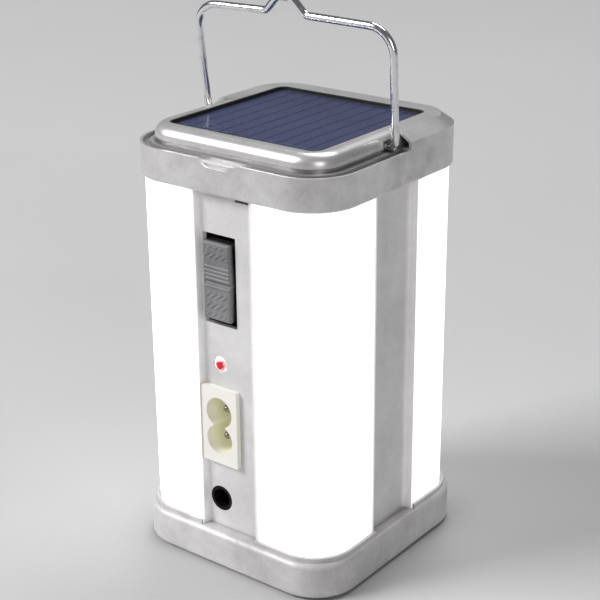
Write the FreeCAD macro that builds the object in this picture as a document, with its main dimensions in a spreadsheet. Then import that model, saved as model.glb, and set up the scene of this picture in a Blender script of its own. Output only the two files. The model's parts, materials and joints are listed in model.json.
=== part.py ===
import FreeCAD, Part
import math
import os
import Sketcher

# A square solar lantern: a base tray and a top housing joined by four narrow side panels, with a
# lit diffuser on each corner, a solar panel in the roof, a folding wire handle and, on the front
# panel, a rocker switch, a charge lamp, a mains inlet and a low-voltage jack.
# The row frame is in millimetres: +Z is up, -Y is the front panel, and the origin is on the floor
# in the middle of the base.

SIZES = (
    ("foot_height", 0.6, "how far the rubber feet stand below the base"),
    ("base_half", 37.0, "half the width of the base"),
    ("base_radius", 14.0, "corner radius of the base"),
    ("base_top", 11.6, "height of the flat rim of the base"),
    ("base_floor", 2.6, "height of the inside floor of the base"),
    ("base_round", 1.8, "rounding of the rim of the base"),
    ("base_under_round", 0.8, "rounding under the base"),
    ("curb_half", 35.75, "half the width over the curb round the diffusers"),
    ("curb_radius", 13.5, "corner radius of the curb"),
    ("curb_top", 13.0, "height of the top of the curb"),
    ("collar_half", 36.0, "half the width of the collar"),
    ("collar_radius", 14.4, "corner radius of the collar"),
    ("collar_low", 116.3, "height of the collar's lower edge"),
    ("collar_high", 126.0, "height of the ledge on the collar"),
    ("collar_round", 1.0, "rounding of the collar's lower edge"),
    ("seat_high", 121.4, "height of the shoulder inside the collar"),
    ("ring_half", 33.6, "half the width of the space above the shoulder"),
    ("ring_radius", 12.0, "corner radius of that space"),
    ("ring_high", 124.2, "height of the ceiling of that space"),
    ("cover_half", 31.7, "half the width of the roof cover, front half"),
    ("cover_radius", 10.1, "corner radius of the roof cover"),
    ("cover_round", 3.4, "rounding of the cover's upper edge"),
    ("cover_wall", 2.4, "wall of the roof cover"),
    ("top_plane", 131.0, "height of the flat bezel round the solar panel"),
    ("roof_low", 127.6, "height of the ceiling inside the roof"),
    ("rear_front", 4.0, "where the full-width rear half of the cover starts"),
    ("rear_top_half", 32.2, "half the width of the rear half at the top"),
    ("rear_top_radius", 10.6, "corner radius of the rear half at the top"),
    ("bevel_low", 128.3, "height where the rear bevel starts"),
    ("channel_inner", 33.0, "inside of the handle channel in the ledge"),
    ("channel_outer", 35.2, "outside of the handle channel in the ledge"),
    ("channel_depth", 1.2, "depth of the handle channel"),
    ("undercut_half", 30.8, "half the width at the shadow gap under the cover"),
    ("undercut_height", 1.2, "height of the shadow gap"),
    ("notch_half", 7.5, "half the width of the finger notch"),
    ("notch_low", 123.8, "height of the bottom of the finger notch"),
    ("notch_depth", 1.1, "depth of the finger notch"),
    ("notch_high", 126.6, "height at which the notch's plan ends, above the ledge"),
    ("notch_foot_half", 4.4, "half the width of the finger notch at its bottom"),
    ("notch_bend", 5.0, "bend radius at the bottom corners of the finger notch"),
    ("cavity_inner", 32.1, "inner side of the cavities in the rear half, behind the handle's feet"),
    ("cavity_outer", 35.2, "outer side of those cavities"),
    ("cavity_low", 126.3, "height of their floors"),
    ("cavity_shoulder", 128.0, "height of their outer upper corners"),
    ("cavity_high", 130.0, "height of their inner upper corners"),
    ("cavity_depth", 4.0, "depth of those cavities"),
    ("recess_half", 26.6, "half the width of the recess for the solar panel"),
    ("recess_radius", 3.0, "corner radius of that recess"),
    ("recess_depth", 1.6, "depth of that recess"),
    ("body_half", 34.7, "half the width over the diffusers"),
    ("body_radius", 12.5, "corner radius of the diffusers"),
    ("body_gap", 0.25, "play round the diffusers in the base and the collar"),
    ("body_low", 3.2, "height of the lower ends of the diffusers and panels"),
    ("body_high", 118.2, "height of their upper ends"),
    ("lane_half", 10.2, "half the width of a side panel"),
    ("lane_gap", 0.2, "gap between a side panel and a diffuser"),
    ("panel_face", 32.5, "distance from the axis to the face of a side panel"),
    ("panel_wall", 1.6, "thickness of a side panel"),
    ("lip_face", 34.5, "distance from the axis to the tops of a side panel's lips"),
    ("lip_top", 9.8, "from the middle of a side panel to the tops of its lips"),
    ("lip_foot", 9.4, "from the middle of a side panel to the feet of its lips"),
    ("flange_wall", 0.9, "thickness of a side panel's flanges"),
    ("flange_depth", 4.4, "depth of a side panel's flanges"),
    ("diffuser_wall", 1.6, "thickness of a diffuser"),
    ("diffuser_edge", 0.8, "rounding of a diffuser's long edges"),
    ("flank_inner", 28.6, "where the flank of a diffuser ends"),
    ("tray_wall", 1.2, "thickness of a reflector"),
    ("tray_corner", 16.2, "where the flat back of a reflector starts"),
    ("led_board_width", 6.6, "width of a lamp board"),
    ("led_board_wall", 1.0, "thickness of a lamp board"),
    ("led_board_low", 16.0, "height of the lower end of a lamp board"),
    ("led_board_high", 114.0, "height of its upper end"),
    ("led_pitch", 8.0, "distance between lamp chips"),
    ("led_width", 2.8, "width of a lamp chip"),
    ("led_height", 3.5, "height of a lamp chip"),
    ("led_depth", 0.8, "thickness of a lamp chip"),
    ("deck_low", 118.5, "height of the underside of the deck"),
    ("deck_wall", 2.0, "thickness of the deck"),
    ("deck_half", 32.3, "half the width of the deck"),
    ("deck_radius", 10.8, "corner radius of the deck"),
    ("boss_radius", 3.2, "radius of a screw boss"),
    ("boss_rib_half", 1.2, "half the thickness of the rib behind a screw boss"),
    ("vent_low", 114.5, "height of the bottom of the vent slot in the front panel"),
    ("vent_high", 115.5, "height of the top of the vent slot"),
    ("vent_left", 3.2, "place across of the vent slot's left end"),
    ("vent_right", 8.6, "place across of the vent slot's right end"),
    ("boss_distance", 26.4, "distance from the axis to a panel boss"),
    ("boss_low", 5.2, "height of the lower end of a lower panel boss"),
    ("boss_length", 9.0, "length of a panel boss"),
    ("roof_boss", 21.0, "place of a roof boss along both axes"),
    ("pilot_radius", 1.35, "radius of a screw's pilot hole"),
    ("shank_radius", 1.3, "radius of a screw's shank"),
    ("shank_length", 8.0, "length of a screw's shank"),
    ("head_radius", 2.6, "radius of a screw's head"),
    ("head_height", 1.6, "height of a screw's head"),
    ("through_radius", 1.6, "radius of a clearance hole"),
    ("counterbore_radius", 2.9, "radius of a counterbore under the base"),
    ("counterbore_top", 3.4, "height of the seat of a base screw"),
    ("post_radius", 4.2, "radius of a screw post in the base"),
    ("post_high", 5.0, "height of the top of a screw post"),
    ("foot_radius", 4.5, "radius of a rubber foot"),
    ("foot_place", 25.0, "place of a rubber foot along both axes"),
    ("foot_sink", 1.0, "how deep a foot sits in the base"),
    ("wire_radius", 1.1, "radius of the handle wire"),
    ("pivot_height", 127.2, "height of the handle's axis"),
    ("pivot_end", 28.0, "where the handle's ends stop inside the cover"),
    ("pivot_bore", 1.25, "radius of the handle's bearing holes"),
    ("pivot_bottom", 27.5, "where the bearing holes end"),
    ("bearing_lap", 1.0, "how far the bearing blocks reach past the bores and into the cover's wall"),
    ("pivot_pocket_floor", 30.3, "floor of the pockets round the handle's feet"),
    ("pivot_pocket_half", 3.2, "half the width of those pockets"),
    ("pivot_pocket_high", 129.3, "height of the top of those pockets"),
    ("handle_lean", 5.5, "forward lean of the handle at rest, in degrees"),
    ("handle_foot", 33.4, "half the width of the handle at its feet"),
    ("handle_shoulder", 34.3, "half the width of the handle at its shoulders"),
    ("handle_reach", 33.6, "from the handle's axis to its top bar"),
    ("handle_slope", 0.5, "how much lower the bar is at its shoulders"),
    ("foot_bend", 1.9, "bend radius at the handle's feet"),
    ("shoulder_bend", 7.5, "bend radius at the handle's shoulders"),
    ("hump_middle", -1.4, "place across of the middle of the handle's hump"),
    ("hump_half", 6.8, "half the width of the hump at its foot"),
    ("hump_top_half", 2.6, "half the width of the hump at its top"),
    ("hump_rise", 4.4, "height of the hump"),
    ("hump_bend", 2.8, "bend radius in the hump"),
    ("gasket_half", 26.5, "half the width of the solar gasket"),
    ("gasket_inner", 26.0, "half the width inside the solar gasket"),
    ("gasket_high", 130.9, "height of the top of the solar gasket"),
    ("laminate_half", 25.9, "half the width of the solar laminate"),
    ("backing_high", 129.8, "height of the top of the solar backing board"),
    ("cell_high", 129.95, "height of the top of the solar cells"),
    ("window_high", 130.15, "height of the top of the solar window"),
    ("cell_front", -22.4, "front ends of the solar cells"),
    ("cell_rear", 24.9, "rear ends of the solar cells"),
    ("cell_width", 4.9, "width of one solar cell"),
    ("cell_pitch", 5.12, "distance between solar cells"),
    ("switch_across", -2.85, "place of the switch across the front panel"),
    ("switch_height", 90.4, "height of the middle of the switch"),
    ("switch_half_width", 5.9, "half the width of the switch opening"),
    ("switch_half_height", 13.5, "half the height of the switch opening"),
    ("switch_axis", 27.0, "distance from the lantern's axis to the rocker's axis"),
    ("housing_half_width", 6.2, "half the width of the switch housing"),
    ("housing_half_height", 14.4, "half the height of the switch housing"),
    ("housing_front", 30.8, "front of the switch housing"),
    ("housing_back", 18.6, "back of the switch housing"),
    ("housing_wall", 1.2, "wall behind the rocker"),
    ("rocker_half_width", 4.8, "half the width of the rocker"),
    ("rocker_half_height", 11.5, "half the height of the rocker"),
    ("rocker_middle_face", 33.7, "face of the rocker at its middle"),
    ("rocker_end_face", 34.4, "face of the rocker at its ends"),
    ("rocker_back", 29.6, "back of the rocker's wings"),
    ("rocker_hub", 2.4, "radius of the rocker's hub"),
    ("rib_radius", 0.5, "radius of a grip rib on the rocker"),
    ("rib_pitch", 1.5, "distance between grip ribs"),
    ("pin_radius", 1.0, "radius of the rocker's pin"),
    ("pin_bore", 1.05, "radius of the rocker's bore"),
    ("terminal_pitch", 7.0, "distance between the switch's terminals"),
    ("terminal_half_width", 2.2, "half the width of a switch terminal"),
    ("terminal_half_wall", 0.4, "half the thickness of a switch terminal"),
    ("terminal_end", 13.4, "distance from the axis to the terminals' free ends"),
    ("lamp_across", -3.8, "place of the charge lamp across the front panel"),
    ("lamp_height", 64.5, "height of the charge lamp"),
    ("lamp_radius", 2.5, "radius of the charge lamp"),
    ("lamp_flange", 2.9, "radius of the charge lamp's flange"),
    ("lamp_proud", 33.4, "how far out the lamp's dome springs"),
    ("lamp_hole", 2.6, "radius of the charge lamp's hole"),
    ("leg_radius", 0.3, "radius of the charge lamp's legs"),
    ("leg_length", 9.0, "length of the charge lamp's legs"),
    ("leg_apart", 1.27, "from the lamp's middle to each leg"),
    ("inlet_across", -3.4, "place of the mains inlet across the front panel"),
    ("inlet_height", 45.5, "height of the mains inlet"),
    ("inlet_plate_half_width", 6.6, "half the width of the inlet's face plate"),
    ("inlet_plate_half_height", 12.1, "half the height of the inlet's face plate"),
    ("inlet_plate_wall", 1.6, "thickness of the inlet's face plate"),
    ("inlet_body_half_width", 5.6, "half the width of the inlet's body"),
    ("inlet_body_half_height", 10.8, "half the height of the inlet's body"),
    ("inlet_back", 18.0, "back of the inlet's body"),
    ("socket_radius", 4.7, "radius of each lobe of the inlet's socket"),
    ("socket_waist", 2.2, "half the width of the socket's waist"),
    ("socket_floor", 21.0, "floor of the inlet's socket"),
    ("blade_pitch", 8.6, "distance between the inlet's two pins"),
    ("blade_radius", 1.18, "radius of the inlet's pins"),
    ("blade_front", 31.4, "front ends of the inlet's pins"),
    ("blade_back", 13.3, "back ends of the inlet's pins"),
    ("jack_across", -4.7, "place of the low-voltage jack across the front panel"),
    ("jack_height", 20.8, "height of the low-voltage jack"),
    ("jack_radius", 3.9, "radius of the jack's nose"),
    ("jack_bore", 3.0, "radius of the jack's bore"),
    ("jack_half_width", 4.5, "half the width of the jack's body"),
    ("jack_half_height", 5.2, "half the height of the jack's body"),
    ("jack_front", 30.8, "front of the jack's body"),
    ("jack_back", 18.0, "back of the jack's body"),
    ("jack_floor", 22.0, "floor of the jack's bore"),
    ("jack_pin_radius", 1.0, "radius of the jack's pin"),
    ("jack_pin_front", 28.0, "front end of the jack's pin"),
    ("cell_radius", 9.2, "radius of the battery cell"),
    ("cell_low", 28.0, "height of the battery cell's lower end"),
    ("cell_length", 65.0, "length of the battery cell"),
    ("button_radius", 3.7, "radius of the battery cell's button"),
    ("button_height", 1.4, "height of the battery cell's button"),
    ("tab_half", 4.0, "half the width of the battery tabs"),
    ("cradle_half", 9.8, "from the axis to the free ends of the battery cradle's shelves"),
    ("spine_half", 8.8, "half the width of the battery cradle"),
    ("cradle_wall", 1.4, "wall of the battery cradle"),
    ("cradle_spine", 9.5, "front of the cradle's spine"),
    ("tab_wall", 0.3, "thickness of the battery tabs"),
    ("board_face", 20.4, "front of the main board"),
    ("board_wall", 1.6, "thickness of the main board"),
    ("board_half", 8.4, "half the width of the main board"),
    ("board_low", 20.0, "height of the main board's lower end"),
    ("board_high", 104.0, "height of the main board's upper end"),
    ("board_hole", 1.1, "radius of the screw holes in the main board"),
    ("board_post_radius", 2.2, "radius of the posts that carry the main board"),
    ("board_head_radius", 1.6, "radius of a board screw's head"),
    ("board_head_height", 1.1, "height of a board screw's head"),
    ("board_shank_radius", 0.8, "radius of a board screw's shank"),
    ("board_shank_length", 6.0, "length of a board screw's shank"),
    ("capacitor_radius", 3.9, "radius of a board capacitor"),
    ("capacitor_length", 8.0, "length of a board capacitor"),
    ("capacitor_across", -3.6, "place of the board capacitors across the board"),
    ("chip_half_width", 2.5, "half the width of a board chip"),
    ("chip_half_height", 2.0, "half the height of a board chip"),
    ("chip_depth", 1.6, "how far a board chip stands off the board"),
    ("coil_left", 1.0, "left side of the board's coil"),
    ("coil_right", 7.0, "right side of the board's coil"),
    ("coil_low", 68.0, "height of the underside of the coil"),
    ("coil_high", 76.0, "height of the top of the coil"),
    ("coil_depth", 4.4, "how far the coil stands off the board"),
    ("diode_radius", 1.25, "radius of a diode"),
    ("diode_length", 4.6, "length of a diode"),
    ("diode_across", 2.6, "place of the diodes' left ends across the board"),
    ("diode_stand", 1.3, "from the board to the middle of a diode"),
    ("diode_low", 48.0, "height of the lowest diode"),
    ("diode_pitch", 3.2, "distance between diodes"),
    ("charger_face", 13.2, "distance from the axis to the front of the charger board"),
    ("charger_back", 12.0, "distance from the axis to the back of the charger board"),
    ("charger_low", 14.6, "height of the charger board's lower end"),
    ("charger_high", 60.0, "height of the charger board's upper end"),
    ("dropper_left", 3.4, "left side of the charger's capacitor"),
    ("dropper_right", 8.2, "right side of the charger's capacitor"),
    ("dropper_low", 38.0, "height of the underside of the charger's capacitor"),
    ("dropper_high", 52.0, "height of the top of the charger's capacitor"),
    ("dropper_depth", 5.5, "how far that capacitor stands off the charger board"),
    ("connector_low", 88.5, "height of the underside of the solar connector"),
    ("connector_drop", 36.5, "from the solar connector down to the lamp connector"),
    ("connector_left", -7.6, "left side of the connectors"),
    ("connector_right", -2.6, "right side of the connectors"),
    ("connector_height", 5.0, "height of a connector"),
    ("connector_depth", 4.8, "how far a connector stands off the board"),
    ("lead_radius", 0.7, "radius of the insulated leads"),
    ("lead_hole", 0.9, "radius of the holes for the leads"),
    ("lead_along", 14.0, "where the solar leads pass the roof, behind the axis"),
    ("lead_middle", -5.1, "place across between the two solar leads"),
    ("lead_apart", 1.3, "from that place to each solar lead"),
    ("lead_bend", 3.0, "bend radius of the solar leads"),
    ("lead_turn", 114.0, "height where the leads turn towards the board"),
    ("lead_slope_end", 107.0, "height where they turn down along the board"),
    ("lead_stand", 2.4, "from the board to the leads"),
)


# The play between moulded parts, the pilot holes for the board screws, and the heights of the
# screw posts and of the components on the main board.
PLAY = 0.1
BOARD_PILOT = 0.85
BOARD_PILOT_DEPTH = 6.0
BOARD_POSTS = (25.0, 99.0)
CRADLE_POSTS = (44.0, 80.0)
CAPACITOR_PLACES = (36.0, 87.0)
CHIP_PLACES = (36.0, 62.0)


class Size:
    """A length that carries its value and the expression that binds it to the sheet."""

    def __init__(self, text, value):
        self.text = text
        self.value = value

    def join(self, sign, other, value):
        return Size("(%s %s %s)" % (self.text, sign, size(other).text), value)

    def __add__(self, other):
        return self.join("+", other, self.value + size(other).value)

    def __sub__(self, other):
        return self.join("-", other, self.value - size(other).value)

    def __mul__(self, factor):
        return self.join("*", factor, self.value * factor)

    def __truediv__(self, factor):
        return self.join("/", factor, self.value / factor)

    def __neg__(self):
        return Size("(0 - %s)" % self.text, -self.value)


def size(thing):
    """A plain number as a Size, or the Size itself."""
    if isinstance(thing, Size):
        return thing
    return Size(repr(float(thing)), float(thing))


class Sizes:
    """The driving dimensions, one attribute for each alias of the sheet."""


doc = FreeCAD.newDocument("SolarLantern")
sheet = doc.addObject("Spreadsheet::Sheet", "Sizes")
s = Sizes()
for row, (alias, number, meaning) in enumerate(SIZES, 1):
    sheet.set("A%d" % row, meaning)
    sheet.set("B%d" % row, str(number))
    sheet.setAlias("B%d" % row, alias)
    setattr(s, alias, Size("Sizes." + alias, number))
doc.recompute()

nodes = []


def bind(thing, path, length):
    """Binds one property of an object to the sheet."""
    thing.setExpression(path, size(length).text)


def node(thing, name):
    """Names an object as a sub-part, which is exported under that name."""
    thing.Label = name
    nodes.append(thing)
    return thing


# ---------------------------------------------------------------- sketches


def new_sketch(body, plane, offset):
    """An empty sketch on one of the body's own origin planes, moved along its normal."""
    sketch = body.newObject("Sketcher::SketchObject", "Sketch")
    origin_plane = [f for f in body.Origin.OriginFeatures if f.Role == plane + "_Plane"][0]
    sketch.AttachmentSupport = [(origin_plane, "")]
    sketch.MapMode = "FlatFace"
    bind(sketch, "AttachmentOffset.Base.z", offset)
    return sketch


def pin_point(sketch, geometry, end, x, y):
    """Fixes one point of a sketch at a place given by two sizes."""
    across = sketch.addConstraint(Sketcher.Constraint("DistanceX", -1, 1, geometry, end, size(x).value))
    bind(sketch, "Constraints[%d]" % across, x)
    up = sketch.addConstraint(Sketcher.Constraint("DistanceY", -1, 1, geometry, end, size(y).value))
    bind(sketch, "Constraints[%d]" % up, y)


def corner_geometry(before, corner, after, radius):
    """Where a rounded corner's arc starts, ends and has its centre."""
    to_before = (before - corner).normalize()
    to_after = (after - corner).normalize()
    half_angle = to_before.getAngle(to_after) / 2
    start = corner + to_before * (radius / math.tan(half_angle))
    end = corner + to_after * (radius / math.tan(half_angle))
    centre = corner + (to_before + to_after).normalize() * (radius / math.sin(half_angle))
    return start, end, centre


def arc_between(start, end, centre):
    """The short arc from start to end, and whether it runs clockwise."""
    first = start - centre
    last = end - centre
    clockwise = first.cross(last).z < 0
    circle = Part.Circle(centre, FreeCAD.Vector(0, 0, 1), first.Length)
    angles = [math.atan2(v.y, v.x) for v in (first, last)]
    if clockwise:
        angles.reverse()
    if angles[1] < angles[0]:
        angles[1] += 2 * math.pi
    return Part.ArcOfCircle(circle, angles[0], angles[1]), clockwise


def outline(sketch, corners, closed=True):
    """Straight lines through the corners, each (x, y) or (x, y, radius), all bound to the sheet."""
    corners = [tuple(c) + (0,) * (3 - len(c)) for c in corners]
    points = [FreeCAD.Vector(size(x).value, size(y).value, 0) for x, y, _ in corners]
    count = len(corners)
    ends = []
    for i, (_, _, radius) in enumerate(corners):
        inner = closed or 0 < i < count - 1
        value = size(radius).value
        if inner and value > 0:
            ends.append(corner_geometry(points[i - 1], points[i], points[(i + 1) % count], value))
        else:
            ends.append((points[i], points[i], None))
    lines = []
    for i in range(count if closed else count - 1):
        start = ends[i][1]
        end = ends[(i + 1) % count][0]
        lines.append(sketch.addGeometry(Part.LineSegment(start, end), False))
    for i, (x, y, radius) in enumerate(corners):
        if not closed and i in (0, count - 1):
            line, end = (lines[0], 1) if i == 0 else (lines[-1], 2)
            pin_point(sketch, line, end, x, y)
            continue
        incoming = lines[i - 1]
        outgoing = lines[i]
        if ends[i][2] is None:
            sketch.addConstraint(Sketcher.Constraint("Coincident", incoming, 2, outgoing, 1))
            pin_point(sketch, outgoing, 1, x, y)
            continue
        arc, clockwise = arc_between(*ends[i])
        curve = sketch.addGeometry(arc, False)
        near, far = (2, 1) if clockwise else (1, 2)
        vertex = sketch.addGeometry(Part.Point(points[i]), True)
        sketch.addConstraint(Sketcher.Constraint("Tangent", incoming, 2, curve, near))
        sketch.addConstraint(Sketcher.Constraint("Tangent", outgoing, 1, curve, far))
        sketch.addConstraint(Sketcher.Constraint("PointOnObject", vertex, 1, incoming))
        sketch.addConstraint(Sketcher.Constraint("PointOnObject", vertex, 1, outgoing))
        pin_point(sketch, vertex, 1, x, y)
        bend = sketch.addConstraint(Sketcher.Constraint("Radius", curve, size(radius).value))
        bind(sketch, "Constraints[%d]" % bend, radius)
    return sketch


def circle(sketch, x, y, radius):
    """A circle in a sketch, bound to the sheet."""
    centre = FreeCAD.Vector(size(x).value, size(y).value, 0)
    ring = sketch.addGeometry(Part.Circle(centre, FreeCAD.Vector(0, 0, 1), size(radius).value), False)
    pin_point(sketch, ring, 3, x, y)
    bend = sketch.addConstraint(Sketcher.Constraint("Radius", ring, size(radius).value))
    bind(sketch, "Constraints[%d]" % bend, radius)
    return sketch


def rectangle(sketch, x_low, x_high, y_low, y_high, radius=0):
    """A rectangle in a sketch, with rounded corners if a radius is given."""
    places = ((x_low, y_low), (x_high, y_low), (x_high, y_high), (x_low, y_high))
    return outline(sketch, [(x, y, radius) for x, y in places])


def square(sketch, half, radius=0):
    """A square about the origin of the sketch."""
    return rectangle(sketch, -half, half, -half, half, radius)


# ---------------------------------------------------------------- features


def new_body(name):
    """An empty PartDesign body that will be exported as a sub-part."""
    return node(doc.addObject("PartDesign::Body", name), name)


def pad(body, sketch, length, backwards=False):
    """Adds material from a sketch, along its normal or against it."""
    feature = body.newObject("PartDesign::Pad", "Pad")
    feature.Profile = (sketch, [""])
    feature.Reversed = backwards
    bind(feature, "Length", length)
    doc.recompute()
    return feature


def pocket(body, sketch, length, along=False):
    """Takes material away from a sketch, against its normal or along it."""
    before = body.Shape.Volume
    feature = body.newObject("PartDesign::Pocket", "Pocket")
    feature.Profile = (sketch, [""])
    feature.Reversed = along
    bind(feature, "Length", length)
    doc.recompute()
    if body.Shape.Volume > before - 0.01:
        raise RuntimeError("a pocket in %s cuts nothing" % body.Label)
    return feature


def loft(body, lower, upper):
    """Adds a straight-sided solid between two sketches."""
    feature = body.newObject("PartDesign::AdditiveLoft", "Loft")
    feature.Profile = (lower, [""])
    feature.Sections = [(upper, [""])]
    feature.Ruled = True
    doc.recompute()
    return feature


def pipe(body, profile, path):
    """Adds a solid by drawing a profile along a path."""
    feature = body.newObject("PartDesign::AdditivePipe", "Pipe")
    feature.Profile = (profile, [""])
    feature.Spine = (path, [])
    doc.recompute()
    return feature


def round_edges(body, radius, wanted):
    """Fillets those edges of the body's last feature that a test picks by their bounding box."""
    base = body.Tip
    names = []
    for number, edge in enumerate(base.Shape.Edges, 1):
        if wanted(edge.BoundBox):
            names.append("Edge%d" % number)
    feature = body.newObject("PartDesign::Fillet", "Fillet")
    feature.Base = (base, names)
    bind(feature, "Radius", radius)
    doc.recompute()
    return feature


def level(height):
    """A test that picks the edges lying flat at one height."""
    value = size(height).value
    return lambda box: abs(box.ZMin - value) < 0.01 and abs(box.ZMax - value) < 0.01


# ---------------------------------------------------------------- primitives and groups


def place(thing, x, y, z):
    """Binds an object's place to the sheet."""
    bind(thing, "Placement.Base.x", x)
    bind(thing, "Placement.Base.y", y)
    bind(thing, "Placement.Base.z", z)
    return thing


def block(x_low, x_high, y_low, y_high, z_low, z_high):
    """A box given by its faces."""
    thing = doc.addObject("Part::Box", "Block")
    bind(thing, "Length", size(x_high) - x_low)
    bind(thing, "Width", size(y_high) - y_low)
    bind(thing, "Height", size(z_high) - z_low)
    return place(thing, x_low, y_low, z_low)


UPRIGHT = FreeCAD.Rotation()
FORWARD = FreeCAD.Rotation(FreeCAD.Vector(1, 0, 0), 90)
SIDEWAYS = FreeCAD.Rotation(FreeCAD.Vector(0, 1, 0), 90)


def rod(radius, length, x, y, z, turn=UPRIGHT):
    """A cylinder from a point: up, towards the front (-Y) or along +X."""
    thing = doc.addObject("Part::Cylinder", "Rod")
    thing.Placement = FreeCAD.Placement(FreeCAD.Vector(), turn)
    bind(thing, "Radius", radius)
    bind(thing, "Height", length)
    return place(thing, x, y, z)


def ball(radius, x, y, z):
    """A sphere about a point."""
    thing = doc.addObject("Part::Sphere", "Ball")
    bind(thing, "Radius", radius)
    return place(thing, x, y, z)


def fused(*things):
    """One solid out of several that overlap or touch."""
    thing = doc.addObject("Part::MultiFuse", "Fused")
    thing.Shapes = list(things)
    thing.Refine = True
    return thing


def cut(base, *tools):
    """A solid with others taken out of it."""
    tool = tools[0] if len(tools) == 1 else fused(*tools)
    thing = doc.addObject("Part::Cut", "Cut")
    thing.Base = base
    thing.Tool = tool
    doc.recompute()
    if thing.Shape.Volume > base.Shape.Volume - 0.01:
        raise RuntimeError("a cut takes nothing away")
    return thing


def group(name, things):
    """Several separate solids under one name."""
    thing = doc.addObject("Part::Compound", name)
    thing.Links = list(things)
    return node(thing, name)


# The four sides, as quarter turns about +Z from the front, and the four corners, as quarter
# turns from the rear right corner.
SIDES = (("front", 0), ("right", 90), ("rear", 180), ("left", 270))
CORNERS = (("rear_right", 0), ("rear_left", 90), ("front_left", 180), ("front_right", 270))
SIGNS = ((1, 1), (-1, 1), (-1, -1), (1, -1))


def turned(thing, degrees):
    """Turns an object about the lantern's axis."""
    turn = FreeCAD.Rotation(FreeCAD.Vector(0, 0, 1), degrees)
    thing.Placement = FreeCAD.Placement(FreeCAD.Vector(), turn).multiply(thing.Placement)
    return thing


def around(distance):
    """The four points at one distance from the axis, one in the middle of each side."""
    return ((0, -distance), (distance, 0), (0, distance), (-distance, 0))


def body_outline(sketch):
    """The plan of the lantern's body with play: diffusers on the corners, panels set back."""
    wide = s.body_half + s.body_gap
    narrow = s.panel_face + s.lane_gap / 2
    radius = s.body_radius + s.body_gap
    tongue = s.lip_foot - PLAY
    corners = []
    for quarter in range(4):
        turn = math.radians(90 * quarter)
        cosine = round(math.cos(turn))
        sine = round(math.sin(turn))
        steps = ((tongue, -narrow), (tongue, -wide), (wide, -wide, radius),
                 (wide, -tongue), (narrow, -tongue))
        for step in steps:
            x = size(step[0]) * cosine - size(step[1]) * sine
            y = size(step[0]) * sine + size(step[1]) * cosine
            corners.append((x, y) + step[2:])
    return outline(sketch, corners)


# ---------------------------------------------------------------- top housing


def front_strip(sketch, inner, outer, inner_radius, outer_radius):
    """A U-shaped strip round the front half of the cover, open to the rear."""
    return outline(sketch, [
        (outer, s.rear_front), (inner, s.rear_front), (inner, -inner, inner_radius),
        (-inner, -inner, inner_radius), (-inner, s.rear_front), (-outer, s.rear_front),
        (-outer, -outer, outer_radius), (outer, -outer, outer_radius),
    ])


def rear_plan(sketch, half, radius):
    """The plan of the full-width rear half of the cover."""
    return outline(sketch, [
        (half, s.rear_front), (half, half, radius), (-half, half, radius), (-half, s.rear_front),
    ])


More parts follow.
